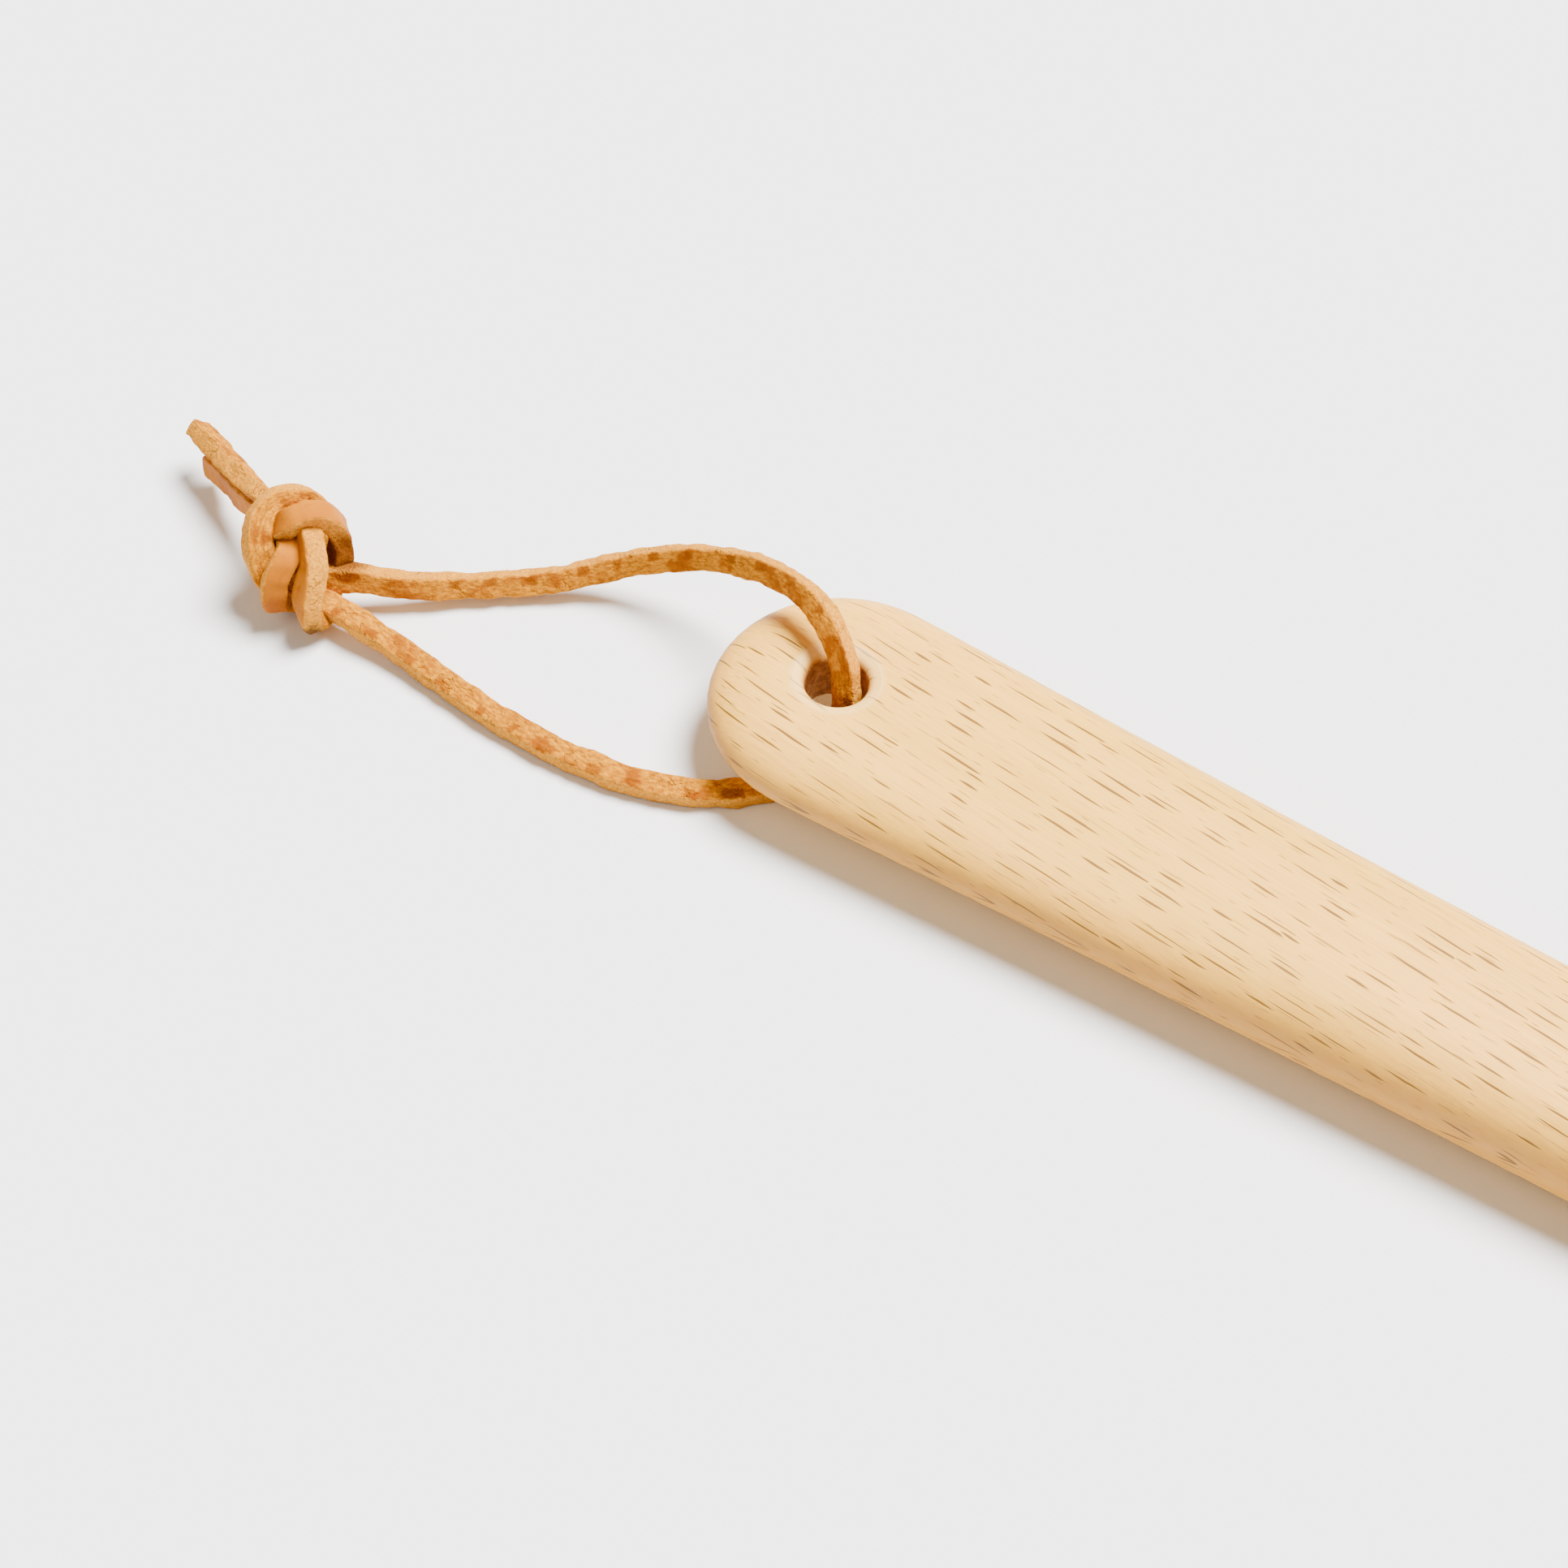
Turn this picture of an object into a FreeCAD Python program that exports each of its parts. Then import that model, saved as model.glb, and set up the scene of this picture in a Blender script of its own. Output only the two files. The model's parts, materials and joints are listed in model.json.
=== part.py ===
import FreeCAD, Part
import math
import os

from FreeCAD import Vector

# Long shoehorn, lying on a table with its concave side up.
# Millimetres. +X runs from the hanging end to the blade's tip, +Y across, +Z up.
# The origin is the middle of the horn's footprint, on the table (the lace is not counted).

# Whole horn
OVERALL_LENGTH = 580.0
HANDLE_LENGTH = 400.0

# Beech handle: a flat oval section, wide and thin at the hanging end, narrower and thicker at the grip
END_WIDTH = 34.4
END_THICKNESS = 8.8
GRIP_WIDTH = 23.5
GRIP_THICKNESS = 16.0
ROUNDING = 8.0          # width of the elliptical rounding along each side
TAPER_LENGTH = 230.0    # from the round end's centre to where the section stops changing
TAPER_EASE = 8.0        # the taper starts tangent to the round end over about this length
TAPER_STATIONS = (0.0, 5.0, 12.0, 25.0, 45.0, 80.0, 120.0, 160.0, 195.0, 218.0, TAPER_LENGTH)
BLADE_END_ROUNDING = 2.5

# Hanging hole, with softened rims
HOLE_DIAMETER = 8.0
HOLE_FROM_END = 15.8
RIM_RADIUS = 1.5
RIM_ANGLE = math.radians(70.0)
RIM_FLARE = 0.5         # straight part of the rim beyond its arc, measured outwards
RIM_CUTTER_RUN = 3.0    # how far the cutter's flare goes on past each rim

# Pressed steel blade and its tang
SHEET = 1.0
TANG_LENGTH = 56.0
TANG_WIDTH = 19.0
SLOT_WIDTH = 1.1
SLOT_DEPTH = 58.0
FLAT_RUN = 6.0          # flat stretch between the handle and the pressed trough
TIP_RADIUS = 20.5

# Two-piece cutlery rivets
RIVET_PITCH = 30.0
RIVET_FROM_HANDLE_END = 14.0
RIVET_HEAD_DIAMETER = 8.0
RIVET_HEAD_HEIGHT = 1.3  # the head's crown is level with the wood
RIVET_DOME = 0.3
RIVET_TUBE_DIAMETER = 5.0
RIVET_TUBE_LOW = 4.0    # height at which the cap's tube ends
RIVET_CAP_END_WALL = 1.0
RIVET_SHANK_DIAMETER = 3.0
RIVET_SHANK_GAP = 0.6   # between the shank's end and the bottom of the cap's bore
RIVET_CLEARANCE = 0.05

# Leather lace
LACE_DIAMETER = 2.8
ARC_SHARE = 0.45        # share of each straight run that the arc at its end may take
KNOT_SEMI_AXES = (8.4, 7.0, 6.4)
KNOT_HEIGHT = 6.2
KNOT_TURN = -20.0       # degrees about Z, along the lace as it passes through the knot

END_X = -OVERALL_LENGTH / 2
MID_Z = GRIP_THICKNESS / 2
HANDLE_TOP_Z = MID_Z + END_THICKNESS / 2
HANDLE_LOW_Z = MID_Z - END_THICKNESS / 2
ROUND_END_X = END_X + END_WIDTH / 2
BLADE_X = END_X + HANDLE_LENGTH
TIP_X = OVERALL_LENGTH / 2
RIVET_HEAD_SEAT = GRIP_THICKNESS - RIVET_HEAD_HEIGHT
HOLE = Vector(END_X + HOLE_FROM_END, 0, 0)
UP = Vector(0, 0, 1)
CUT_MARGIN = 1.0        # how far a cutter goes past the surface it cuts
TOLERANCE = 0.01


# --- handle -----------------------------------------------------------------

def taper(along):
    """0 at the round end, 1 where the grip's constant section begins."""
    if along >= TAPER_LENGTH:
        return 1.0
    left = 1.0 - along / TAPER_LENGTH
    return (1.0 - left * left) * (1.0 - math.exp(-along / TAPER_EASE))


def oval_section(along):
    """The handle's section: flat above and below, an elliptical arc on each side."""
    share = taper(along)
    half_width = (END_WIDTH + (GRIP_WIDTH - END_WIDTH) * share) / 2
    half_height = (END_THICKNESS + (GRIP_THICKNESS - END_THICKNESS) * share) / 2
    flat = half_width - ROUNDING
    x = ROUND_END_X + along

    def side_arc(sign):
        centre = Vector(x, sign * flat, MID_Z)
        widest = centre + Vector(0, sign * ROUNDING, 0)
        ellipse = Part.Ellipse(widest, centre + Vector(0, 0, half_height), centre)
        return Part.Arc(ellipse, -math.pi / 2, math.pi / 2).toShape()

    corners = [(flat, half_height), (-flat, half_height), (flat, -half_height), (-flat, -half_height)]
    top_far, top_near, low_far, low_near = [Vector(x, y, MID_Z + z) for y, z in corners]
    edges = [Part.makeLine(low_near, low_far), side_arc(1), Part.makeLine(top_far, top_near), side_arc(-1)]
    return Part.Wire(Part.__sortEdges__(edges))


def round_end():
    """Half a turn of the half section about the round end's centre."""
    centre = Vector(ROUND_END_X, 0, 0)
    flat = END_WIDTH / 2 - ROUNDING
    half = END_THICKNESS / 2
    low_axis = centre + Vector(0, 0, MID_Z - half)
    top_axis = centre + Vector(0, 0, MID_Z + half)
    low = low_axis + Vector(0, flat, 0)
    top = top_axis + Vector(0, flat, 0)
    middle = centre + Vector(0, flat, MID_Z)
    ellipse = Part.Ellipse(middle + Vector(0, ROUNDING, 0), middle + Vector(0, 0, half), middle)
    edges = [
        Part.makeLine(low_axis, low),
        Part.Arc(ellipse, -math.pi / 2, math.pi / 2).toShape(),
        Part.makeLine(top, top_axis),
        Part.makeLine(top_axis, low_axis),
    ]
    profile = Part.Face(Part.Wire(Part.__sortEdges__(edges)))
    return profile.revolve(centre, UP, 180.0)


def hole_cutter():
    """The hanging hole with a soft flare at both faces."""
    radius = HOLE_DIAMETER / 2
    arc_out = RIM_RADIUS * (1 - math.cos(RIM_ANGLE))
    arc_up = RIM_RADIUS * math.sin(RIM_ANGLE)
    flare_up = RIM_FLARE / math.tan(RIM_ANGLE)

    def rim(z_face, sign):
        z_start = z_face - sign * (arc_up + flare_up)
        half = RIM_ANGLE / 2
        start = Vector(radius, 0, z_start)
        middle = Vector(
            radius + RIM_RADIUS * (1 - math.cos(half)), 0, z_start + sign * RIM_RADIUS * math.sin(half)
        )
        end = Vector(radius + arc_out, 0, z_start + sign * arc_up)
        run_out = Vector(math.sin(RIM_ANGLE), 0, sign * math.cos(RIM_ANGLE)) * RIM_CUTTER_RUN
        outer = end + run_out
        return start, middle, end, outer

    top = rim(HANDLE_TOP_Z, 1)
    low = rim(HANDLE_LOW_Z, -1)
    edges = [
        Part.makeLine(Vector(0, 0, low[3].z), low[3]),
        Part.makeLine(low[3], low[2]),
        Part.Arc(low[2], low[1], low[0]).toShape(),
        Part.makeLine(low[0], top[0]),
        Part.Arc(top[0], top[1], top[2]).toShape(),
        Part.makeLine(top[2], top[3]),
        Part.makeLine(top[3], Vector(0, 0, top[3].z)),
        Part.makeLine(Vector(0, 0, top[3].z), Vector(0, 0, low[3].z)),
    ]
    profile = Part.Face(Part.Wire(Part.__sortEdges__(edges)))
    cutter = profile.revolve(Vector(0, 0, 0), UP, 360.0)
    cutter.translate(HOLE)
    return cutter


def rivet_places():
    first = BLADE_X - RIVET_FROM_HANDLE_END
    return {"lower": Vector(first, 0, 0), "upper": Vector(first - RIVET_PITCH, 0, 0)}


def handle():
    grip_length = BLADE_X - ROUND_END_X - TAPER_LENGTH
    grip = Part.Face(oval_section(TAPER_LENGTH)).extrude(Vector(grip_length, 0, 0))
    end_edges = [e for e in grip.Edges if e.BoundBox.XMin > BLADE_X - TOLERANCE]
    grip = grip.makeFillet(BLADE_END_ROUNDING, end_edges)
    tapered = Part.makeLoft([oval_section(s) for s in TAPER_STATIONS], True, False)
    body = grip.fuse([tapered, round_end()]).removeSplitter()
    body = body.cut(hole_cutter())
    slot = Part.makeBox(SLOT_DEPTH + CUT_MARGIN, GRIP_WIDTH + 2 * CUT_MARGIN, SLOT_WIDTH)
    slot.translate(Vector(BLADE_X - SLOT_DEPTH, -GRIP_WIDTH / 2 - CUT_MARGIN, MID_Z - SLOT_WIDTH / 2))
    body = body.cut(slot)
    bore = RIVET_TUBE_DIAMETER / 2 + RIVET_CLEARANCE
    recess = RIVET_HEAD_DIAMETER / 2 + RIVET_CLEARANCE
    for place in rivet_places().values():
        below = place - UP * CUT_MARGIN
        body = body.cut(Part.makeCylinder(bore, GRIP_THICKNESS + 2 * CUT_MARGIN, below))
        for low in (below, place + UP * RIVET_HEAD_SEAT):
            body = body.cut(Part.makeCylinder(recess, RIVET_HEAD_HEIGHT + CUT_MARGIN, low))
    return body


# --- blade ------------------------------------------------------------------

# Along the blade from the handle: the trough's radius and the height of its lowest line
TROUGH = (
    (25.0, 60.0, 6.3),
    (50.0, 30.0, 3.9),
    (80.0, 26.0, 1.7),
    (115.0, 27.0, 0.35),
    (145.0, 30.0, 0.05),
    (182.0, 38.0, 1.5),
)
TROUGH_REACH = 22.0     # half width of the pressing before it is trimmed

# Half widths of the trimmed blade
BLADE_OUTLINE = ((0.0, 9.5), (22.0, 10.2), (60.0, 14.6), (105.0, 18.6))


def trough_section(along, radius, height):
    """A closed section of the sheet: two concentric arcs joined at their ends."""
    x = BLADE_X + along
    reach = math.asin(TROUGH_REACH / radius)
    axis = Vector(x, 0, height + radius)

    def on_arc(r, angle):
        return axis + Vector(0, r * math.sin(angle), -r * math.cos(angle))

    outer = Part.Arc(on_arc(radius, -reach), on_arc(radius, 0), on_arc(radius, reach)).toShape()
    inside = radius - SHEET
    inner = Part.Arc(on_arc(inside, reach), on_arc(inside, 0), on_arc(inside, -reach)).toShape()
    sides = [
        Part.makeLine(on_arc(radius, reach), on_arc(inside, reach)),
        Part.makeLine(on_arc(inside, -reach), on_arc(radius, -reach)),
    ]
    return Part.Wire([outer, sides[0], inner, sides[1]])


def flat_section(along):
    x = BLADE_X + along
    low = MID_Z - SHEET / 2
    high = MID_Z + SHEET / 2
    corners = [(-TROUGH_REACH, low), (TROUGH_REACH, low), (TROUGH_REACH, high), (-TROUGH_REACH, high)]
    points = [Vector(x, y, z) for y, z in corners]
    return Part.makePolygon(points + points[:1])


def blade_outline():
    """The trimmed plan: a flared blade with a round tip, on a parallel tang."""
    tip_centre = TIP_X - TIP_RADIUS
    side = [Vector(BLADE_X + s, y, 0) for s, y in BLADE_OUTLINE] + [Vector(tip_centre, TIP_RADIUS, 0)]
    mirrored = [Vector(p.x, -p.y, 0) for p in side]
    tang_start = BLADE_X - TANG_LENGTH

    def flank(points):
        curve = Part.BSplineCurve()
        curve.interpolate(Points=points, InitialTangent=Vector(1, 0, 0), FinalTangent=Vector(1, 0, 0))
        return curve.toShape()

    half_tang = TANG_WIDTH / 2
    tang = [
        Part.makeLine(mirrored[0], Vector(tang_start, -half_tang, 0)),
        Part.makeLine(Vector(tang_start, -half_tang, 0), Vector(tang_start, half_tang, 0)),
        Part.makeLine(Vector(tang_start, half_tang, 0), side[0]),
    ]
    tip = Part.Arc(side[-1], Vector(TIP_X, 0, 0), mirrored[-1]).toShape()
    edges = tang + [flank(side), tip, flank(mirrored)]
    return Part.Face(Part.Wire(Part.__sortEdges__(edges)))


def blade():
    sections = [flat_section(0.0), flat_section(FLAT_RUN)] + [trough_section(*row) for row in TROUGH]
    pressing = Part.makeLoft(sections, True, False)
    tang = Part.makeBox(TANG_LENGTH, 2 * TROUGH_REACH, SHEET)
    tang.translate(Vector(BLADE_X - TANG_LENGTH, -TROUGH_REACH, MID_Z - SHEET / 2))
    sheet = pressing.fuse(tang).removeSplitter()
    trim = blade_outline().extrude(UP * 4 * GRIP_THICKNESS)
    trim.translate(-UP * GRIP_THICKNESS)
    sheet = sheet.common(trim)
    hole = RIVET_TUBE_DIAMETER / 2 + RIVET_CLEARANCE
    for place in rivet_places().values():
        sheet = sheet.cut(Part.makeCylinder(hole, GRIP_THICKNESS, place))
    return sheet


# --- rivets -----------------------------------------------------------------

def rivet_head(place):
    """A shallow domed head, its outer face upwards, starting at z = 0."""
    radius = RIVET_HEAD_DIAMETER / 2
    dome_radius = (radius * radius + RIVET_DOME * RIVET_DOME) / (2 * RIVET_DOME)
    dome = Part.makeSphere(dome_radius, UP * (RIVET_HEAD_HEIGHT - dome_radius))
    head = Part.makeCylinder(radius, RIVET_HEAD_HEIGHT).common(dome)
    head.translate(place)
    return head


def rivet_cap(place):
    """The upper half: a domed head on a tube with a blind bore."""
    tube_length = RIVET_HEAD_SEAT - RIVET_TUBE_LOW
    tube = Part.makeCylinder(RIVET_TUBE_DIAMETER / 2, tube_length, place + UP * RIVET_TUBE_LOW)
    bore_depth = tube_length - RIVET_CAP_END_WALL
    bore = Part.makeCylinder(RIVET_SHANK_DIAMETER / 2, bore_depth, place + UP * RIVET_TUBE_LOW)
    return tube.cut(bore).fuse(rivet_head(place + UP * RIVET_HEAD_SEAT)).removeSplitter()


def rivet_post(place):
    """The lower half: a domed head on a shank driven up into the cap."""
    head = rivet_head(Vector(0, 0, 0))
    head.rotate(Vector(0, 0, 0), Vector(1, 0, 0), 180.0)
    head.translate(place + UP * RIVET_HEAD_HEIGHT)
    shank_end = RIVET_HEAD_SEAT - RIVET_CAP_END_WALL - RIVET_SHANK_GAP
    shank_length = shank_end - RIVET_HEAD_HEIGHT
    shank = Part.makeCylinder(RIVET_SHANK_DIAMETER / 2, shank_length, place + UP * RIVET_HEAD_HEIGHT)
    return head.fuse(shank).removeSplitter()


# --- lace -------------------------------------------------------------------

# Routes are measured from the hole's axis, in X and Y, and from the table, in Z.
LOOP_ROUTE = (
    (-67.5, -17.6, 7.1),
    (-63.4, -16.0, 5.4),
    (-58.2, -12.4, 3.5),
    (-51.2, -6.3, 2.6),
    (-44.0, -0.3, 2.6),
    (-38.4, 4.2, 4.4),
    (-32.6, 7.2, 7.4),
    (-25.2, 9.0, 10.8),
    (-17.6, 8.8, 13.9),
    (-10.0, 6.6, 16.8),
    (-3.9, 4.0, 17.0),
    (0.2, 1.6, 14.0),
    (1.4, 0.6, 9.9),
    (1.4, 0.5, 6.0),
    (1.3, -0.2, 3.0),
    (1.0, -2.8, 1.6),
    (0.4, -7.0, 1.6),
    (-1.6, -12.2, 1.6),
    (-6.6, -17.0, 1.6),
    (-15.0, -21.0, 1.7),
    (-26.4, -22.6, 1.7),
    (-38.6, -22.3, 1.7),
    (-50.4, -20.8, 1.9),
    (-58.6, -20.6, 3.2),
    (-63.6, -21.0, 4.6),
    (-66.8, -21.6, 5.0),
)
LONG_TAIL_ROUTE = ((-75.4, -15.6, 7.4), (-81.6, -12.9, 6.9), (-89.0, -10.6, 6.1), (-96.0, -8.9, 5.0))
SHORT_TAIL_ROUTE = ((-75.0, -16.4, 4.2), (-80.6, -14.4, 3.6), (-87.0, -12.3, 2.8), (-93.0, -10.6, 1.8))
KNOT_CENTRE = (-70.5, -18.4)


def lace_point(offset):
    return HOLE + Vector(*offset)


def tangent_path(route, name):
    """Straight runs joined by arcs as large as their runs allow."""
    points = [lace_point(p) for p in route]
    edges = []
    radii = []
    start = points[0]
    for before, corner, after in zip(points, points[1:], points[2:]):
        inward = (corner - before).normalize()
        outward = (after - corner).normalize()
        half_turn = inward.getAngle(outward) / 2
        reach = ARC_SHARE * min((corner - before).Length, (after - corner).Length)
        radius = reach / math.tan(half_turn)
        radii.append(radius)
        first = corner - inward * reach
        last = corner + outward * reach
        bisector = (outward - inward).normalize()
        middle = corner + bisector * (radius / math.cos(half_turn) - radius)
        edges.append(Part.LineSegment(start, first).toShape())
        edges.append(Part.Arc(first, middle, last).toShape())
        start = last
    edges.append(Part.LineSegment(start, points[-1]).toShape())
    print(name, "arc radii", " ".join(f"{r:.1f}" for r in radii))
    return Part.Wire(edges)


def lace_tube(route, name):
    path = tangent_path(route, name)
    points = [lace_point(p) for p in route[:2]]
    circle = Part.Wire(Part.makeCircle(LACE_DIAMETER / 2, points[0], (points[1] - points[0]).normalize()))
    tube = path.makePipeShell([circle], True, False)
    expected = math.pi * (LACE_DIAMETER / 2) ** 2 * path.Length
    print(name, f"length {path.Length:.1f} volume {tube.Volume:.1f} expected {expected:.1f}")
    return tube


def lace_knot():
    """The outer shape of the knot, flattened where it lies on the table."""
    centre = Vector(*KNOT_CENTRE, KNOT_HEIGHT) + HOLE
    stretch = FreeCAD.Matrix()
    stretch.scale(*KNOT_SEMI_AXES)
    knot = Part.makeSphere(1.0).transformGeometry(stretch)
    knot.rotate(Vector(0, 0, 0), UP, KNOT_TURN)
    knot.translate(centre)
    size = 4 * max(KNOT_SEMI_AXES)
    above_table = Part.makeBox(size, size, size, centre - Vector(size / 2, size / 2, KNOT_HEIGHT))
    return knot.common(above_table)


def parts():
    rivets = rivet_places()
    return {
        "handle": handle(),
        "blade": blade(),
        "upper_rivet_cap": rivet_cap(rivets["upper"]),
        "upper_rivet_post": rivet_post(rivets["upper"]),
        "lower_rivet_cap": rivet_cap(rivets["lower"]),
        "lower_rivet_post": rivet_post(rivets["lower"]),
        "lace_loop": lace_tube(LOOP_ROUTE, "lace_loop"),
        "lace_knot": lace_knot(),
        "lace_tail_long": lace_tube(LONG_TAIL_ROUTE, "lace_tail_long"),
        "lace_tail_short": lace_tube(SHORT_TAIL_ROUTE, "lace_tail_short"),
    }


os.makedirs("parts", exist_ok=True)
for node, shape in parts().items():
    shape.exportStep(f"parts/{node}.step")
    print(node, "valid", shape.isValid(), "solids", len(shape.Solids), f"volume {shape.Volume:.0f}")
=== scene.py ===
import json
import math

import bmesh
import bpy
from mathutils import Matrix, Vector, noise


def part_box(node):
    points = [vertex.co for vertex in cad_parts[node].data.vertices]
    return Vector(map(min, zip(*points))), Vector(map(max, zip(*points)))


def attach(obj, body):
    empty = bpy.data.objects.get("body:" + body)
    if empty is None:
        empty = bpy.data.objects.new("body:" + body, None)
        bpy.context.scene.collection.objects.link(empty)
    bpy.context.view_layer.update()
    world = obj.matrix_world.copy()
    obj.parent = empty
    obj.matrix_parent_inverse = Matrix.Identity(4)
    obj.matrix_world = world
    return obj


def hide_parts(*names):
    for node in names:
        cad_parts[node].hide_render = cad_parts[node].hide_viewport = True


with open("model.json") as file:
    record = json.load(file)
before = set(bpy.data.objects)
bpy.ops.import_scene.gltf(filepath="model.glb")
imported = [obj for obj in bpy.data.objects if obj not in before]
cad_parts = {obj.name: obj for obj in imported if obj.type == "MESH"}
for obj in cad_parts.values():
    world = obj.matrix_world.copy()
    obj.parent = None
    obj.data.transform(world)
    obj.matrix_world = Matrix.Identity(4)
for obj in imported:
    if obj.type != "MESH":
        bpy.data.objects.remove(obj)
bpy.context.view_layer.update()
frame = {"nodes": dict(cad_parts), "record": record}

MM = 0.001

# The lace swings about the axis of the hanging hole.
HOLE = Vector(frame["record"]["behaviour"]["joints"][0]["pos_m"])
HOLE.z = 0.0
HOLE_RADIUS = 4.0 * MM


# --- camera -------------------------------------------------------------------

VIEW_AZIMUTH = math.radians(31.1)   # the camera stands this far round from -Y towards +X
VIEW_ELEVATION = math.radians(51.0)
VIEW_ROLL = math.radians(3.0)
VIEW_DISTANCE = 400 * MM
AIM = HOLE + Vector((4.0, -17.9, 12.4)) * MM
LENS = 76.06                        # focal length in mm, on a sensor 36 mm wide
SENSOR_WIDTH = 36.0
NEAREST_SEEN = 10 * MM


def camera_turn():
    """Right, up and towards the viewer, as the columns of a turn."""
    flat = math.cos(VIEW_ELEVATION)
    towards_x = math.sin(VIEW_AZIMUTH) * flat
    towards_y = -math.cos(VIEW_AZIMUTH) * flat
    towards = Vector((towards_x, towards_y, math.sin(VIEW_ELEVATION)))
    return towards.to_track_quat("Z", "Y").to_matrix() @ Matrix.Rotation(VIEW_ROLL, 3, "Z")


def add_camera():
    data = bpy.data.cameras.new("camera")
    data.lens = LENS
    data.sensor_width = SENSOR_WIDTH
    data.clip_start = NEAREST_SEEN
    camera = bpy.data.objects.new("camera", data)
    bpy.context.scene.collection.objects.link(camera)
    turn = camera_turn()
    place = AIM + turn.col[2] * VIEW_DISTANCE
    camera.matrix_world = Matrix.Translation(place) @ turn.to_4x4()
    bpy.context.scene.camera = camera


add_camera()


# --- small tools ----------------------------------------------------------------

def new_object(name, bm, material):
    mesh = bpy.data.meshes.new(name)
    bm.to_mesh(mesh)
    bm.free()
    for polygon in mesh.polygons:
        polygon.use_smooth = True
    mesh.materials.append(material)
    piece = bpy.data.objects.new(name, mesh)
    bpy.context.scene.collection.objects.link(piece)
    return piece


class Nodes:
    """A short way to write a material's node tree."""

    def __init__(self, name):
        self.material = bpy.data.materials.new(name)
        self.material.use_nodes = True
        self.tree = self.material.node_tree
        self.shader = self.tree.nodes["Principled BSDF"]

    def add(self, kind, inputs=(), **settings):
        node = self.tree.nodes.new(kind)
        for key, value in settings.items():
            setattr(node, key, value)
        for key, value in dict(inputs).items():
            self.set(node.inputs[key], value)
        return node

    def set(self, socket, value):
        if isinstance(value, bpy.types.NodeSocket):
            self.tree.links.new(value, socket)
        else:
            socket.default_value = value

    def shade(self, inputs):
        for name, value in inputs.items():
            self.set(self.shader.inputs[name], value)

    def math(self, operation, a, b=0.0, clamp=False):
        node = self.add("ShaderNodeMath", {0: a, 1: b}, operation=operation, use_clamp=clamp)
        return node.outputs[0]

    def plus(self, a, b, clamp=False):
        return self.math("ADD", a, b, clamp)

    def minus(self, a, b, clamp=False):
        return self.math("SUBTRACT", a, b, clamp)

    def times(self, a, b):
        return self.math("MULTIPLY", a, b)

    def absolute(self, value):
        return self.math("ABSOLUTE", value)

    def ramp(self, value, low, high, start=0.0, end=1.0):
        """value brought smoothly from low..high to start..end."""
        node = self.add(
            "ShaderNodeMapRange",
            {"Value": value, "From Min": low, "From Max": high, "To Min": start, "To Max": end},
            interpolation_type="SMOOTHSTEP",
        )
        return node.outputs["Result"]

    def mix(self, share, a, b):
        node = self.add("ShaderNodeMix", data_type="RGBA")
        sockets = {socket.identifier: socket for socket in node.inputs}
        self.set(sockets["Factor_Float"], share)
        self.set(sockets["A_Color"], a)
        self.set(sockets["B_Color"], b)
        return {socket.identifier: socket for socket in node.outputs}["Result_Color"]

    def split(self, vector):
        return self.add("ShaderNodeSeparateXYZ", {"Vector": vector}).outputs

    def scaled(self, vector, scale):
        node = self.add("ShaderNodeMapping", {"Vector": vector, "Scale": scale})
        return node.outputs["Vector"]

    def noise(self, vector, scale=1.0, detail=2.0, roughness=0.5, offset=0.0):
        node = self.add(
            "ShaderNodeTexNoise",
            {"Vector": vector, "Scale": scale, "Detail": detail, "Roughness": roughness, "W": offset},
            noise_dimensions="4D",
        )
        return node.outputs["Fac"]

    def rays(self, vector, cell, length, width, shift):
        """Lens-shaped flecks of differing sizes in the XY plane, one to a cell; shift is in cells."""
        per_cell = (1.0 / cell[0], 1.0 / cell[1], 0.0)
        moved = self.add(
            "ShaderNodeMapping", {"Vector": vector, "Scale": per_cell, "Location": (shift, shift, 0.0)}
        )
        grid = moved.outputs["Vector"]
        cells = self.add(
            "ShaderNodeTexVoronoi",
            {"Vector": grid, "Scale": 1.0, "Randomness": 0.8},
            voronoi_dimensions="2D",
        )
        sizes = self.add("ShaderNodeSeparateColor", {"Color": cells.outputs["Color"]}).outputs
        middle = cells.outputs["Position"]
        offset = self.add("ShaderNodeVectorMath", {0: grid, 1: middle}, operation="SUBTRACT")
        along, across, _ = self.split(offset.outputs["Vector"])
        half_length = self.ramp(sizes["Red"], 0.0, 1.0, 0.25 * length / cell[0], 0.7 * length / cell[0])
        half_width = self.ramp(sizes["Green"], 0.0, 1.0, 0.3 * width / cell[1], 0.65 * width / cell[1])
        along = self.math("DIVIDE", along, half_length)
        across = self.math("DIVIDE", across, half_width)
        reach = self.plus(self.times(along, along), self.absolute(across))
        shape = self.ramp(reach, 0.7, 1.2, 1.0, 0.0)
        darkness = self.ramp(sizes["Blue"], 0.0, 0.3, 0.2, 1.0)
        return self.times(shape, darkness)

    def place(self):
        """A point's place in the frame at rest, in metres."""
        return self.add("ShaderNodeTexCoord").outputs["Object"]

    def bump(self, height, distance, strength):
        node = self.add("ShaderNodeBump", {"Height": height, "Distance": distance, "Strength": strength})
        return node.outputs["Normal"]


# --- leather lace ---------------------------------------------------------------

LACE_WIDTH = 3.1 * MM
LACE_THICKNESS = 2.6 * MM
LACE_CORNER = 0.4 * MM
LACE_STEP = 0.3 * MM                # between the rings of the mesh

KNOT_MIDDLE = HOLE + Vector((-69.9, -19.2, 6.8)) * MM
KNOT_REACH = 9.5 * MM               # the leather swells inside this distance of the knot's middle
KNOT_BLEND = 3.0 * MM               # and over this distance it comes to its full swell
FRONT_SWELL = 0.17
BACK_SWELL = 0.04

LUMPS = ((3.4, 0.26), (1.4, 0.15), (0.6, 0.05))     # the leather's unevenness: size and height in mm

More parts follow.
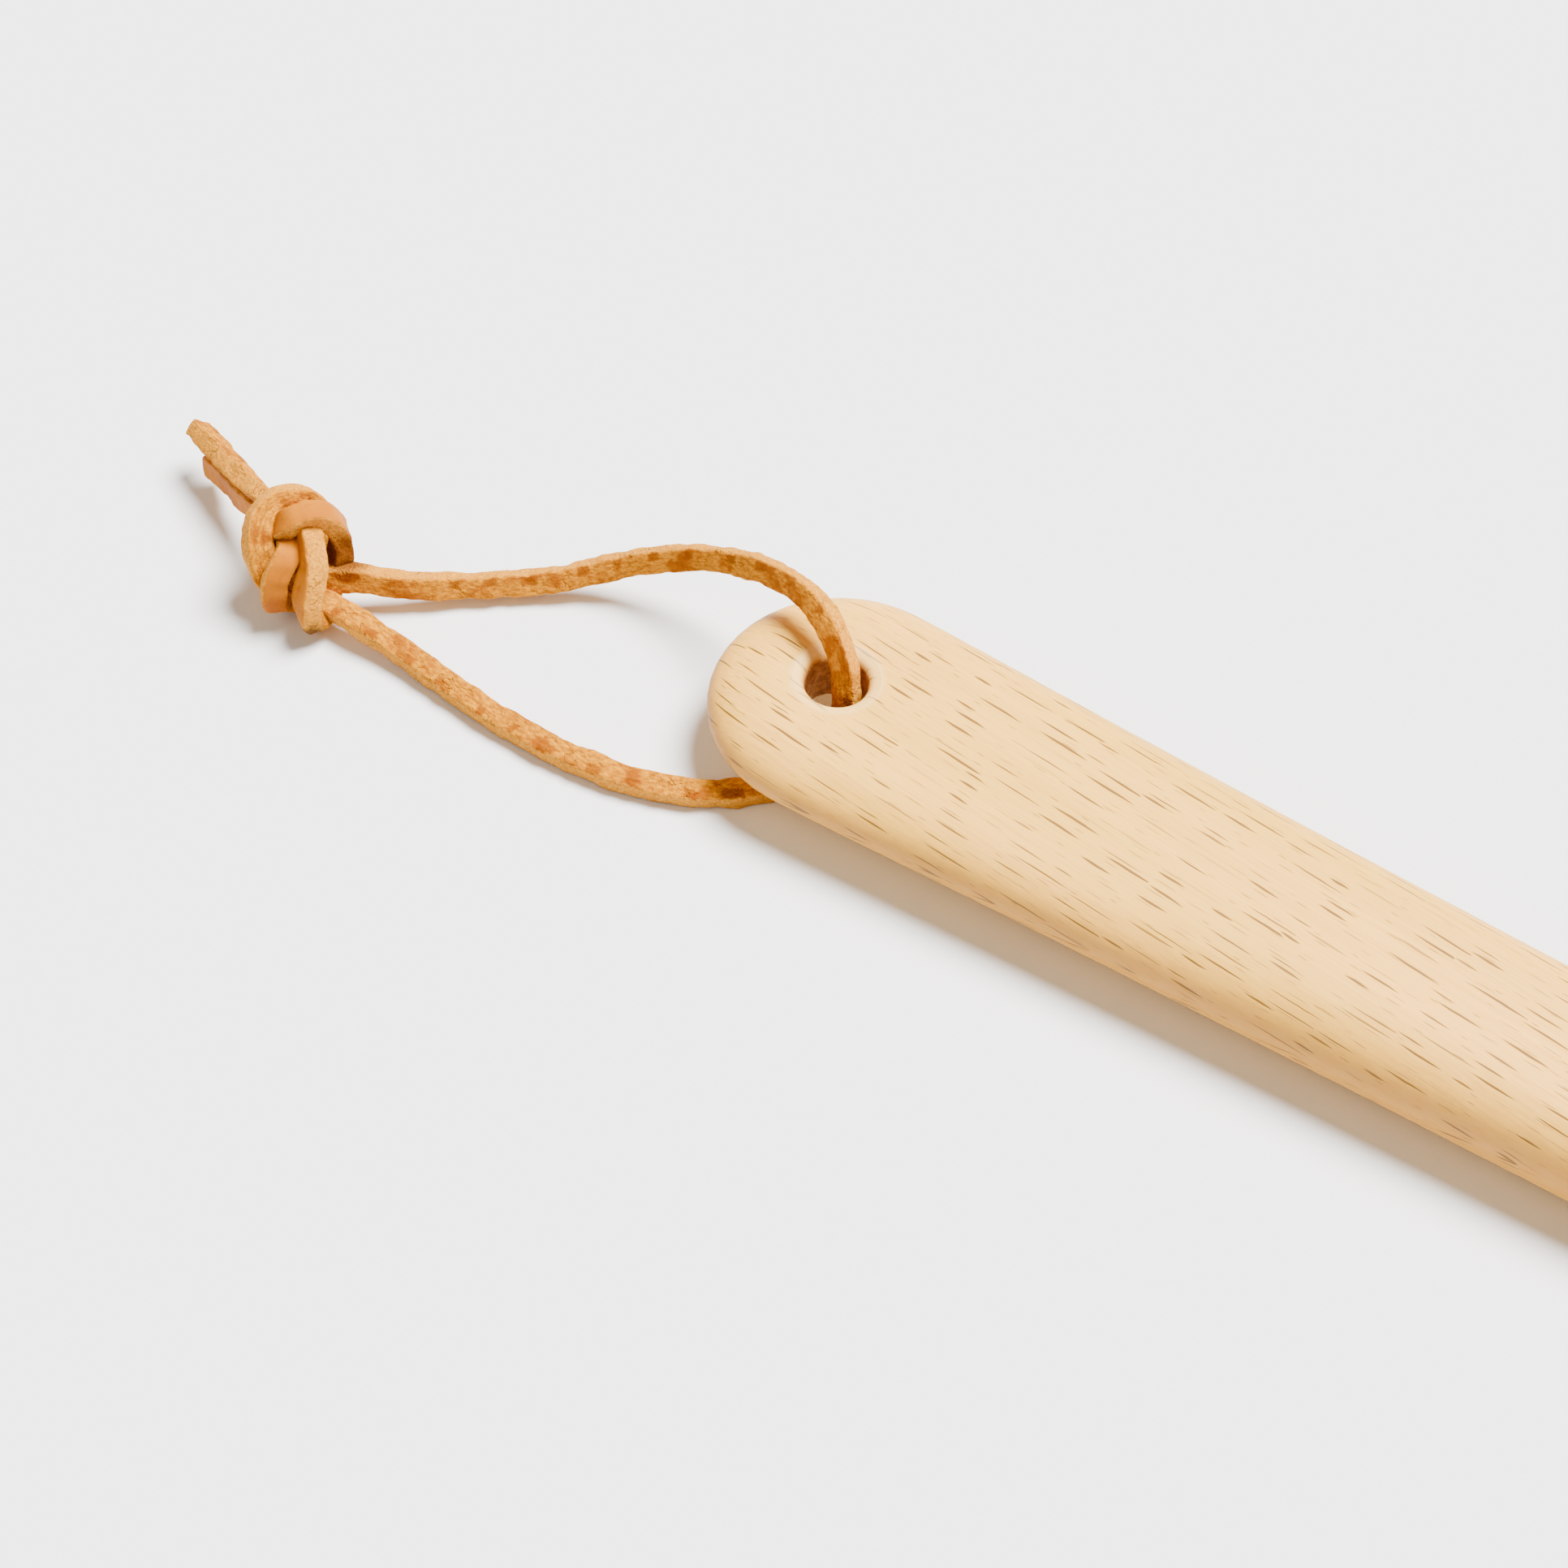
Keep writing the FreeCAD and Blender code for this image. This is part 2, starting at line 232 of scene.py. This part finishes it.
IN_HOLE = (1.4, 0.5)                # X and Y of the lace inside the hole, from its axis, in mm
CUT_HEIGHT = 6.0                    # the two halves meet at this height inside the hole
TOP_EXIT = 12.4                     # the height of the handle's upper face there
LOW_EXIT = 3.6                      # and of its lower face

# Points of the route, in mm, and where the grain side faces there. In the loop they are X and Y from the
# hole's axis and the height. In the knot they are right, up and towards the viewer, from the knot's middle.
FRONT_KNOT = (
    ((-15.8, 18.9, -15.0), (-0.6, -0.5, -0.4)),
    ((-11.0, 14.3, -10.0), (-0.6, -0.5, -0.4)),
    ((-6.6, 9.8, -5.0), (-0.7, -0.4, -0.3)),
    ((-4.2, 7.8, -2.0), (-0.9, -0.3, -0.1)),
    ((-1.2, 6.2, -0.2), (-1.0, 0.0, 0.1)),
    ((1.0, 4.8, 2.0), (-0.9, 0.0, 0.4)),
    ((2.0, 2.2, 4.0), (-0.9, 0.0, 0.4)),
    ((2.7, -0.6, 4.8), (-0.9, -0.1, 0.4)),
    ((2.1, -3.2, 4.8), (-0.8, -0.1, 0.6)),
    ((1.4, -6.2, 4.0), (-0.8, 0.0, 0.6)),
    ((2.0, -8.0, 1.4), (-0.9, -0.3, 0.1)),
    ((2.8, -5.6, -1.6), (-0.6, -0.5, -0.6)),
    ((3.6, -2.6, -3.8), (-0.2, -0.3, -0.9)),
    ((2.8, 1.8, -4.6), (0.0, 0.0, -1.0)),
    ((2.4, 5.4, -4.0), (-0.3, 0.2, -0.9)),
    ((1.4, 8.0, -1.6), (-0.5, 0.3, -0.8)),
    ((-1.4, 8.4, 1.2), (-0.3, 0.4, -0.9)),
    ((-4.3, 6.6, 3.0), (-0.5, 0.2, -0.9)),
    ((-5.0, 3.4, 3.5), (-0.5, 0.0, -0.9)),
    ((-4.8, 0.2, 2.6), (-0.4, 0.0, -0.9)),
    ((-4.0, -2.4, 0.4), (-0.1, 0.3, -1.0)),
    ((0.5, -2.3, -1.2), (0.0, 0.5, -0.8)),
)
LOOP = (
    ((-63.4, -16.0, 5.4), (-0.5, 0.9, -0.3)),
    ((-58.2, -12.4, 3.5), (-0.5, 0.9, -0.4)),
    ((-51.2, -6.3, 2.6), (-0.5, 0.9, -0.5)),
    ((-44.0, -0.3, 2.6), (-0.5, 0.9, -0.5)),
    ((-38.4, 4.2, 4.4), (-0.5, 0.9, -0.6)),
    ((-32.6, 7.2, 7.4), (-0.5, 0.9, -0.6)),
    ((-25.2, 9.0, 10.8), (-0.4, 0.9, -0.6)),
    ((-17.6, 8.8, 13.9), (-0.2, 0.9, -0.6)),
    ((-10.0, 6.6, 16.8), (-0.1, 0.9, -0.6)),
    ((-3.9, 4.0, 17.0), (-0.1, 0.9, -0.4)),
    ((0.2, 1.6, 14.0), (-0.1, 1.0, -0.2)),
    ((1.4, 0.6, 9.9), (-0.1, 1.0, 0.0)),
    ((1.4, 0.5, 6.0), (0.0, 1.0, 0.0)),
    ((1.3, -0.2, 3.0), (0.1, 0.8, -0.7)),
    ((1.0, -2.8, 1.6), (0.0, 0.2, -1.0)),
    ((0.4, -7.0, 1.6), (0.0, 0.0, -1.0)),
    ((-1.6, -12.2, 1.6), (-0.1, 0.1, -1.0)),
    ((-6.6, -17.0, 1.6), (-0.1, 0.2, -1.0)),
    ((-15.0, -21.0, 1.7), (-0.1, 0.2, -1.0)),
    ((-26.4, -22.6, 1.7), (-0.1, 0.2, -1.0)),
    ((-38.6, -22.3, 1.7), (-0.1, 0.2, -1.0)),
    ((-50.4, -20.8, 1.9), (-0.1, 0.2, -1.0)),
    ((-58.6, -20.6, 3.2), (-0.1, 0.2, -1.0)),
)
BACK_KNOT = (
    ((4.0, -5.4, 0.0), (0.0, -0.4, -0.9)),
    ((0.1, -4.6, -0.9), (0.0, 0.0, -1.0)),
    ((-2.0, -0.8, -2.8), (-0.5, 0.5, -0.6)),
    ((-2.8, 2.4, -1.6), (-0.7, 0.5, 0.3)),
    ((-2.2, 3.9, 1.8), (-0.4, 0.4, 0.9)),
    ((-0.6, 4.8, 4.7), (-0.1, 0.3, 0.9)),
    ((1.6, 6.0, 4.9), (0.1, 0.4, 0.9)),
    ((4.2, 5.7, 3.2), (0.5, 0.6, 0.6)),
    ((5.4, 3.8, 0.8), (0.8, 0.5, 0.1)),
    ((5.2, 1.0, -0.9), (0.8, 0.2, -0.6)),
    ((4.2, -1.2, -2.4), (0.7, -0.3, -0.6)),
    ((2.4, -2.2, -3.2), (0.3, -0.5, -0.9)),
    ((0.4, -3.2, -3.2), (0.0, -0.6, -0.8)),
    ((-1.6, -4.6, -1.6), (-0.2, -0.9, -0.3)),
    ((-2.9, -5.4, 1.2), (0.0, -0.8, 0.4)),
    ((-3.0, -3.2, 3.6), (0.3, -0.4, 0.8)),
    ((-1.8, -0.8, 4.3), (0.3, -0.1, 0.9)),
    ((-0.6, 1.2, 3.2), (0.2, 0.1, 0.9)),
    ((-1.4, 3.5, 0.5), (-0.5, 0.1, 0.8)),
    ((-3.3, 5.2, -2.0), (-0.6, -0.5, 0.6)),
    ((-5.7, 7.0, -4.0), (-0.4, -0.5, 0.7)),
    ((-8.6, 9.5, -7.8), (-0.4, -0.5, 0.7)),
    ((-11.2, 11.9, -11.4), (-0.4, -0.5, 0.7)),
    ((-13.8, 14.2, -15.1), (-0.4, -0.5, 0.7)),
)

# Dark places on the knot: where, how far they reach in mm, colour and strength.
STAINS = (
    ((5.9, 1.6, -0.3), 4.6, (0.085, 0.013, 0.002, 1), 0.85),
    ((1.6, -8.4, 1.8), 2.5, (0.030, 0.011, 0.005, 1), 0.85),
    ((-2.4, -5.6, 2.0), 2.6, (0.24, 0.045, 0.002, 1), 0.6),
)

# Colours of the leather.
GRAIN_SIDE = ((0.33, 0.092, 0.001, 1), (0.45, 0.142, 0.001, 1))
GRAIN_BLOTCH = (0.21, 0.046, 0.001, 1)
FLESH_SIDE = ((0.32, 0.096, 0.001, 1), (0.66, 0.260, 0.003, 1))
FLESH_BLOTCH = (0.27, 0.062, 0.001, 1)
FLESH_MARK = (0.20, 0.040, 0.001, 1)
CUT_EDGE = ((0.38, 0.130, 0.004, 1), (0.72, 0.310, 0.026, 1))
CRACK = (0.16, 0.040, 0.002, 1)

MEAN_HAIR = 0.95                    # taken off the leather's relief, so that it lies about zero
MARK_WAVE = 1080.0                  # radians to a metre of lace, which puts the marks 5.8 mm apart


def knot_place(place):
    """The frame's point for a place given in mm from the knot's middle."""
    return KNOT_MIDDLE + camera_turn() @ Vector(place) * MM


def lace_points():
    """Every control point of the lace and where its grain side faces there, tail to tail, in metres."""
    turn = camera_turn()
    in_knot = [(knot_place(place), turn @ Vector(facing)) for place, facing in FRONT_KNOT]
    in_loop = [(HOLE + Vector(place) * MM, Vector(facing)) for place, facing in LOOP]
    out_knot = [(knot_place(place), turn @ Vector(facing)) for place, facing in BACK_KNOT]
    return in_knot + in_loop + out_knot


def smooth_line(points, resolution=10):
    """Points along the NURBS whose control points are given."""
    data = bpy.data.curves.new("line", "CURVE")
    data.dimensions = "3D"
    data.resolution_u = resolution
    spline = data.splines.new("NURBS")
    spline.points.add(len(points) - 1)
    for slot, point in zip(spline.points, points):
        slot.co = (*point, 1.0)
    spline.order_u = 3
    spline.use_endpoint_u = True
    holder = bpy.data.objects.new("line", data)
    mesh = bpy.data.meshes.new_from_object(holder)
    line = [v.co.copy() for v in mesh.vertices]
    bpy.data.objects.remove(holder)
    bpy.data.curves.remove(data)
    bpy.data.meshes.remove(mesh)
    return line


def even_steps(line, facing, step):
    """The line and its facing again, at even steps."""
    run = [0.0]
    for a, b in zip(line, line[1:]):
        run.append(run[-1] + (b - a).length)
    count = max(2, round(run[-1] / step))
    spots, faces, at = [], [], 0
    for i in range(count + 1):
        want = run[-1] * i / count
        while at < len(run) - 2 and run[at + 1] < want:
            at += 1
        share = (want - run[at]) / max(run[at + 1] - run[at], 1e-9)
        spots.append(line[at].lerp(line[at + 1], share))
        faces.append(facing[at].lerp(facing[at + 1], share))
    return spots, faces


def lace_section():
    """Points around the lace from its grain side, each with how far across and through the lace it lies."""
    flat_x = LACE_WIDTH / 2 - LACE_CORNER
    flat_y = LACE_THICKNESS / 2 - LACE_CORNER
    corners = ((flat_x, flat_y), (flat_x, -flat_y), (-flat_x, -flat_y), (-flat_x, flat_y))
    outline = []
    for number, (x, y) in enumerate(corners):
        for k in range(4):
            angle = math.radians(90 - 90 * number - 30 * k)
            arm = (LACE_CORNER * math.cos(angle), LACE_CORNER * math.sin(angle))
            outline.append((x + arm[0], y + arm[1]))
        start = outline[-1]
        next_x, next_y = corners[(number + 1) % len(corners)]
        end = (next_x + arm[0], next_y + arm[1])
        for share in (0.25, 0.5, 0.75):
            outline.append(tuple(a + (b - a) * share for a, b in zip(start, end)))
    return outline


def unevenness(place):
    """How far the leather stands out at a place, in mm."""
    total = 0.0
    for wave, height in LUMPS:
        total += noise.noise(place / (wave * MM) + Vector((wave, 2 * wave, 3))) * height
    return total


def lace_ring(bm, section, spot, ahead, facing, swell):
    """One ring of corners around the lace."""
    normal = (facing - ahead * facing.dot(ahead)).normalized()
    side = ahead.cross(normal)
    ring = []
    for across, through in section:
        place = spot + (side * across + normal * through) * swell
        outward = (place - spot).normalized()
        ring.append(bm.verts.new(place + outward * unevenness(place) * MM))
    return ring


def lace_mesh(name, spots, faces, start_length, material, fullness):
    """A strip of leather along spots; fullness says how much it swells in the pulled knot."""
    section = lace_section()
    steps = len(section)
    around = [0.0]
    for a, b in zip(section, section[1:] + section[:1]):
        around.append(around[-1] + math.dist(a, b))
    bm = bmesh.new()
    uv = bm.loops.layers.uv.new("lace")
    rings = []
    for i, (spot, facing) in enumerate(zip(spots, faces)):
        ahead = spots[min(i + 1, len(spots) - 1)] - spots[max(i - 1, 0)]
        ahead.normalize()
        depth = (KNOT_REACH - (spot - KNOT_MIDDLE).length) / KNOT_BLEND
        swell = 1.0 + fullness * max(0.0, min(1.0, depth))
        rings.append(lace_ring(bm, section, spot, ahead, facing, swell))
    step = (spots[1] - spots[0]).length
    for i, (ring, following) in enumerate(zip(rings, rings[1:])):
        for k in range(steps):
            face = bm.faces.new((ring[k], ring[(k + 1) % steps], following[(k + 1) % steps], following[k]))
            corners = ((i, k), (i, k + 1), (i + 1, k + 1), (i + 1, k))
            for loop, (ring_number, place) in zip(face.loops, corners):
                loop[uv].uv = (start_length + ring_number * step, around[place])
    # the cut ends look like the middle of the flesh side
    for ring in (rings[0], rings[-1][::-1]):
        for loop in bm.faces.new(ring).loops:
            loop[uv].uv = (start_length, LACE_WIDTH + LACE_THICKNESS / 2)
    bmesh.ops.recalc_face_normals(bm, faces=bm.faces)
    return new_object(name, bm, material)


def lace_sides(n, around):
    """Masks of the two cut edges, of the flesh side and of its lower strip, by the way round the lace."""
    corner = math.pi / 2 * LACE_CORNER
    edge = corner + LACE_THICKNESS - 2 * LACE_CORNER
    flesh = corner + LACE_WIDTH - 2 * LACE_CORNER
    softness = 0.18 * MM

    def between(low, high):
        after_low = n.ramp(around, low - softness, low + softness)
        before_high = n.ramp(around, high - softness, high + softness, 1.0, 0.0)
        return n.times(after_low, before_high)

    # the way round starts at the first corner, and half of each corner belongs to the side beside it
    first = corner / 2
    flesh_start = first + edge
    second = flesh_start + flesh
    is_edge = n.plus(between(first, flesh_start), between(second, second + edge), clamp=True)
    is_flesh = between(flesh_start, second)
    low_strip = between(flesh_start, flesh_start + 0.45 * flesh)
    return is_edge, is_flesh, low_strip


def lace_material():
    n = Nodes("tan_leather")
    uv = n.add("ShaderNodeUVMap", uv_map="lace").outputs["UV"]
    length, around, _ = n.split(uv)
    place = n.place()

    wander = n.times(n.minus(n.noise(place, 900, 3), 0.5), 1.1 * MM)
    is_edge, is_flesh, low_strip = lace_sides(n, n.plus(around, wander))
    rough_side = n.plus(is_edge, is_flesh, clamp=True)

    fibre = n.noise(place, 2600, 4, 0.65)
    nap = n.noise(n.scaled(uv, (1.0, 2.6, 1.0)), 900, 5, 0.62, 3.0)
    blotch = n.noise(n.scaled(uv, (1.0, 1.3, 1.0)), 210, 4, 0.6, 1.0)
    broad = n.noise(place, 120, 2, 0.5, 5.0)

    grain = n.mix(n.ramp(broad, 0.3, 0.7), *GRAIN_SIDE)
    grain = n.mix(n.ramp(blotch, 0.58, 0.72, 0.0, 0.8), grain, GRAIN_BLOTCH)

    flesh = n.mix(n.ramp(nap, 0.34, 0.66), *FLESH_SIDE)
    flesh = n.mix(n.ramp(blotch, 0.48, 0.62, 0.0, 0.85), flesh, FLESH_BLOTCH)
    phase = n.plus(n.times(length, MARK_WAVE), n.times(broad, 9.0))
    marks = n.times(n.ramp(n.math("SINE", phase), 0.35, 0.95), low_strip)
    flesh = n.mix(n.times(marks, 0.7), flesh, FLESH_MARK)

    edge = n.mix(n.ramp(fibre, 0.25, 0.75), *CUT_EDGE)

    # fine dark lines where a noise crosses its middle, in patches of the rough sides
    ridge = n.absolute(n.minus(n.noise(place, 380, 3, 0.55, 12.0), 0.5))
    patches = n.ramp(n.noise(place, 300, 2, 0.5, 15.0), 0.50, 0.62)
    cracks = n.times(n.times(n.ramp(ridge, 0.0, 0.040, 1.0, 0.0), patches), rough_side)
    rough = n.mix(n.times(cracks, 0.12), n.mix(is_edge, flesh, edge), CRACK)
    colour = n.mix(rough_side, grain, rough)

    frayed = n.times(n.minus(fibre, 0.5), 2.0 * MM)
    for stain_place, reach, stain, strength in STAINS:
        centre = knot_place(stain_place)
        away = n.add("ShaderNodeVectorMath", {0: place, 1: centre}, operation="DISTANCE").outputs["Value"]
        share = n.ramp(n.plus(away, frayed), reach * 0.45 * MM, reach * 1.05 * MM, strength, 0.0)
        colour = n.mix(share, colour, stain)

    pits = n.noise(place, 620, 3, 0.6, 9.0)
    hair = n.plus(n.plus(n.times(nap, 0.5), n.times(fibre, 0.5)), n.times(pits, 0.9))
    hair = n.minus(n.minus(hair, MEAN_HAIR), n.times(cracks, 0.4))
    height = n.times(hair, n.ramp(rough_side, 0.0, 1.0, 0.22, 1.0))

    n.shade({"Base Color": colour, "Roughness": n.ramp(rough_side, 0.0, 1.0, 0.55, 0.9)})
    n.shade({"Specular IOR Level": 0.12, "Specular Tint": (1.0, 0.45, 0.12, 1.0)})
    n.shade({"Normal": n.bump(height, 0.5 * MM, 0.9)})
    return n.material


def make_lace():
    control = lace_points()
    line = smooth_line([place for place, _ in control])
    sides = smooth_line([facing for _, facing in control])
    spots, faces = even_steps(line, sides, LACE_STEP)
    middle_of_hole = HOLE + Vector((*IN_HOLE, CUT_HEIGHT)) * MM
    cut = min(range(len(spots)), key=lambda i: (spots[i] - middle_of_hole).length)
    material = lace_material()
    step = (spots[1] - spots[0]).length
    front = lace_mesh("lace_front_half", spots[: cut + 1], faces[: cut + 1], 0.0, material, FRONT_SWELL)
    back = lace_mesh("lace_back_half", spots[cut:], faces[cut:], cut * step, material, BACK_SWELL)
    halves = (
        (front, spots[: cut + 1][::-1], ("lace_loop", "lace_knot", "lace_tail_long"), TOP_EXIT),
        (back, spots[cut:], ("lace_loop", "lace_knot", "lace_tail_short"), LOW_EXIT),
    )
    for piece, path, stands_for, exit_height in halves:
        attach(piece, "lace")
        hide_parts(*stands_for)


make_lace()


# --- beech ----------------------------------------------------------------------

TAPER_LENGTH = 230 * MM             # along which the handle thins towards its round end
END_HALF_THICKNESS = 4.4 * MM
WOOD_TURN = (0.0, 0.02, math.radians(7.0))      # the wood's own direction against the handle's

PALE_WOOD = ((0.76, 0.415, 0.042, 1), (0.92, 0.480, 0.070, 1))
ROSY_WOOD = (0.90, 0.455, 0.085, 1)
WOOD_LINE = (0.64, 0.295, 0.024, 1)
# painted shade: the darker colour laid on the handle's long sides
PAINTED_SIDE_SHADE = (0.45, 0.185, 0.008, 1)
FLECK = (0.17, 0.072, 0.003, 1)
RIM_WOOD = (0.95, 0.66, 0.27, 1)
DRILLED_WOOD = ((0.26, 0.095, 0.024, 1), (0.54, 0.25, 0.075, 1))

# The flecks' cells, length and width, all in metres, and how far their grid is shifted, in cells.
LONG_FLECKS = ((0.0086, 0.0021), 0.0060, 0.00030, 0.0)
SMALL_FLECKS = ((0.0052, 0.0016), 0.0024, 0.00016, 5.3)


def beech_flecks(n, place, wood):
    """Flecks that run with the wood and follow the surface down over the long edges."""
    along, across, height = n.split(place)
    handle_low, handle_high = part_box("handle")
    middle = (handle_low[2] + handle_high[2]) / 2
    half_grip = (handle_high[2] - handle_low[2]) / 2
    taper_start = handle_low[0] + handle_high[1]
    taper_share = n.math("DIVIDE", n.minus(along, taper_start), TAPER_LENGTH)
    left = n.minus(1.0, taper_share, clamp=True)
    thinner = n.times(n.times(left, left), half_grip - END_HALF_THICKNESS)
    half_thickness = n.minus(half_grip, thinner)
    below_face = n.minus(half_thickness, n.absolute(n.minus(height, middle)))
    down_the_side = n.times(below_face, n.ramp(across, -6 * MM, 6 * MM, -0.9, 0.9))

    x, y, _ = n.split(wood)
    waver = n.times(n.minus(n.noise(n.scaled(wood, (260.0, 500.0, 300.0)), 1.0, 2), 0.5), 0.3 * MM)
    unrolled_y = n.plus(n.plus(y, down_the_side), waver)
    unrolled = n.add("ShaderNodeCombineXYZ", {"X": x, "Y": unrolled_y}).outputs["Vector"]
    small = n.times(n.rays(unrolled, *SMALL_FLECKS), 0.55)
    return n.math("MAXIMUM", n.rays(unrolled, *LONG_FLECKS), small)


def hanging_hole(n, place):
    """Masks of the wall of the hanging hole and of its paler rim."""
    x, y, _ = n.split(place)
    dx = n.minus(x, HOLE.x)
    radius = n.math("SQRT", n.plus(n.times(dx, dx), n.times(y, y)))
    wall = n.ramp(radius, HOLE_RADIUS, HOLE_RADIUS + 0.3 * MM, 1.0, 0.0)
    rim_start = n.ramp(radius, HOLE_RADIUS + 0.1 * MM, HOLE_RADIUS + 0.6 * MM)
    rim_end = n.ramp(radius, HOLE_RADIUS + 1.5 * MM, HOLE_RADIUS + 2.4 * MM, 1.0, 0.0)
    return wall, n.times(rim_start, rim_end)


def beech_material():
    n = Nodes("beech")
    tex = n.add("ShaderNodeTexCoord").outputs
    place = tex["Object"]
    turn = n.add("ShaderNodeMapping", {"Vector": place, "Rotation": WOOD_TURN})
    wood = turn.outputs["Vector"]

    band = n.noise(n.scaled(wood, (4.0, 210.0, 120.0)), 1.0, 3, 0.55)
    fine = n.noise(n.scaled(wood, (60.0, 3200.0, 2200.0)), 1.0, 4, 0.6, 2.0)
    cloud = n.noise(n.scaled(wood, (14.0, 40.0, 40.0)), 1.0, 2, 0.5, 4.0)
    colour = n.mix(n.ramp(band, 0.32, 0.68), *PALE_WOOD)
    colour = n.mix(n.ramp(cloud, 0.30, 0.70, 0.0, 0.5), colour, ROSY_WOOD)
    colour = n.mix(n.ramp(fine, 0.35, 0.70, 0.0, 0.5), colour, WOOD_LINE)

    # painted shade: the long sides are coloured darker the more the surface turns from facing straight up
    # or down
    _, _, upright = n.split(tex["Normal"])
    painted_side_shade = n.ramp(n.absolute(upright), 0.2, 0.98, 0.8, 0.0)
    colour = n.mix(painted_side_shade, colour, PAINTED_SIDE_SHADE)

    fleck = beech_flecks(n, place, wood)
    colour = n.mix(n.times(fleck, 0.96), colour, FLECK)

    wall, rim = hanging_hole(n, place)
    torn = n.noise(place, 1400, 3, 0.6, 8.0)
    colour = n.mix(n.times(rim, 0.35), colour, RIM_WOOD)
    drilled = n.mix(n.ramp(torn, 0.3, 0.7), *DRILLED_WOOD)
    colour = n.mix(n.times(wall, 0.9), colour, drilled)

    relief = n.minus(n.times(fine, 0.35), n.times(fleck, 0.5))
    relief = n.plus(relief, n.times(wall, n.times(torn, 2.5)))

    n.shade({"Base Color": colour, "Roughness": n.ramp(fine, 0.3, 0.7, 0.46, 0.60)})
    n.shade({"Specular IOR Level": 0.30, "Normal": n.bump(relief, 0.08 * MM, 0.8)})
    return n.material


# --- metal ----------------------------------------------------------------------

def steel_material():
    n = Nodes("satin_steel")
    place = n.place()
    lines = n.noise(n.scaled(place, (26.0, 5200.0, 5200.0)), 1.0, 5, 0.65)
    cloud = n.noise(place, 45, 2, 0.5, 3.0)
    colour = n.mix(n.ramp(lines, 0.3, 0.7), (0.50, 0.505, 0.51, 1), (0.66, 0.66, 0.655, 1))
    roughness = n.plus(n.ramp(lines, 0.3, 0.7, 0.22, 0.36), n.ramp(cloud, 0.3, 0.7, 0.0, 0.06))
    n.shade({"Base Color": colour, "Metallic": 1.0, "Roughness": roughness})
    n.shade({"Normal": n.bump(lines, 0.02 * MM, 0.6)})
    return n.material


def brass_material():
    n = Nodes("satin_brass")
    place = n.place()
    lines = n.noise(n.scaled(place, (3800.0, 300.0, 3800.0)), 1.0, 4, 0.6)
    stain = n.noise(place, 500, 3, 0.5, 6.0)
    colour = n.mix(n.ramp(lines, 0.3, 0.7), (0.62, 0.44, 0.17, 1), (0.78, 0.59, 0.27, 1))
    colour = n.mix(n.ramp(stain, 0.55, 0.75, 0.0, 0.5), colour, (0.45, 0.29, 0.10, 1))
    n.shade({"Base Color": colour, "Metallic": 1.0, "Roughness": n.ramp(lines, 0.3, 0.7, 0.25, 0.42)})
    n.shade({"Normal": n.bump(lines, 0.02 * MM, 0.6)})
    return n.material


def dress(node_names, material):
    for name in node_names:
        mesh = frame["nodes"][name].data
        mesh.materials.clear()
        mesh.materials.append(material)


dress(["handle"], beech_material())
dress(["blade"], steel_material())
rivets = [f"{which}_rivet_{half}" for which in ("upper", "lower") for half in ("cap", "post")]
dress(rivets, brass_material())


# --- floor and light --------------------------------------------------------------

FLOOR_SIZE = 60.0                   # in metres, so that no edge of it comes into view
FLOOR_GREY = (0.84, 0.84, 0.84, 1)
WORLD_STRENGTH = 0.35
WARM_WHITE = (1.0, 0.76, 0.42)


def add_stage():
    bm = bmesh.new()
    bmesh.ops.create_grid(bm, x_segments=1, y_segments=1, size=FLOOR_SIZE)
    n = Nodes("pale_floor")
    n.shade({"Base Color": FLOOR_GREY, "Roughness": 0.9, "Specular IOR Level": 0.1})
    floor = new_object("floor", bm, n.material)


def add_light(name, towards, softness, power, colour=(1.0, 1.0, 1.0)):
    """A soft, even light from the direction that towards points in; softness is its width in degrees."""
    data = bpy.data.lights.new(name, "SUN")
    data.angle = math.radians(softness)
    data.energy = power
    data.color = colour
    lamp = bpy.data.objects.new(name, data)
    lamp.rotation_euler = Vector(towards).to_track_quat("Z", "Y").to_euler()
    bpy.context.scene.collection.objects.link(lamp)


def add_world():
    world = bpy.data.worlds.new("pale_world")
    world.use_nodes = True
    background = world.node_tree.nodes["Background"]
    background.inputs["Color"].default_value = (1.0, 1.0, 1.0, 1.0)
    background.inputs["Strength"].default_value = WORLD_STRENGTH
    bpy.context.scene.world = world


add_stage()
add_world()
add_light("overhead", towards=(0.27, 0.42, 1.0), softness=30.0, power=16.0)
add_light("viewer_side", towards=(-0.1, -0.75, 0.9), softness=40.0, power=1.0, colour=WARM_WHITE)
